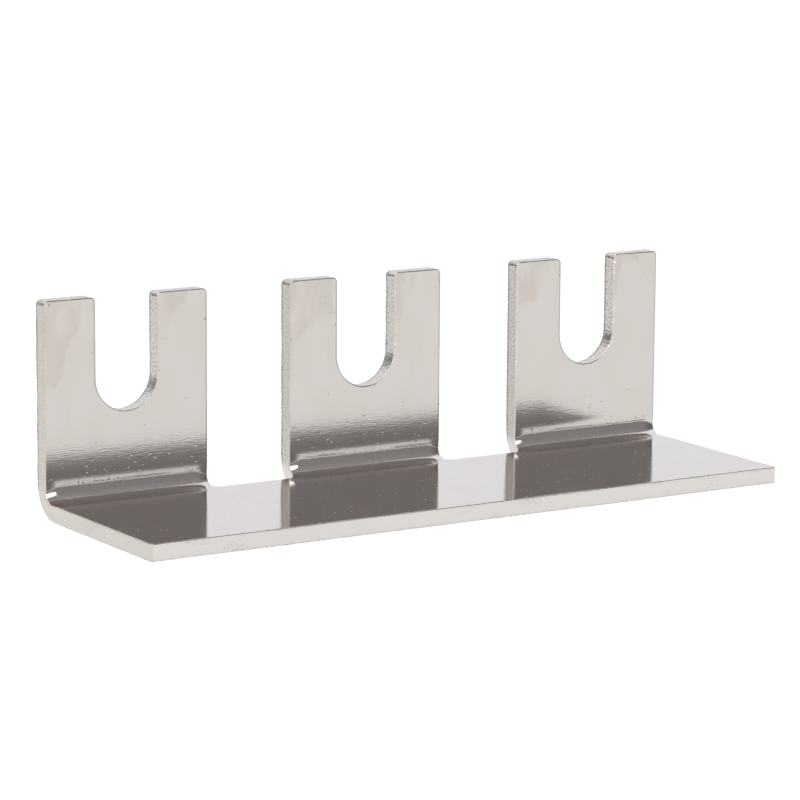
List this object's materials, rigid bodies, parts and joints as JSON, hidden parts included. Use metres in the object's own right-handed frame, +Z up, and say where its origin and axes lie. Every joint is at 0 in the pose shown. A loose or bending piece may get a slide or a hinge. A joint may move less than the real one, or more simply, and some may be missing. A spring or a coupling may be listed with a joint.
{
  "type": "terminal block jumper bar",
  "caption": "Comb of U-slotted tabs folded up square from a common strip of plated sheet, made to slip under terminal screws and link neighbouring poles.",
  "frame": {"origin": "middle of the bar's length and depth, on the underside of the strip", "axes": "+X along the bar, +Y towards the outside faces of the tabs, +Z up along the tabs"},
  "size_m": [0.0546, 0.0172, 0.016],
  "materials": {
    "nickel_plate": "bright nickel plate over rolled copper sheet, with faint rolling grain and sheared edges"
  },
  "bodies": {
    "root": {"jumper_bar": "nickel_plate"}
  },
  "joints": []
}
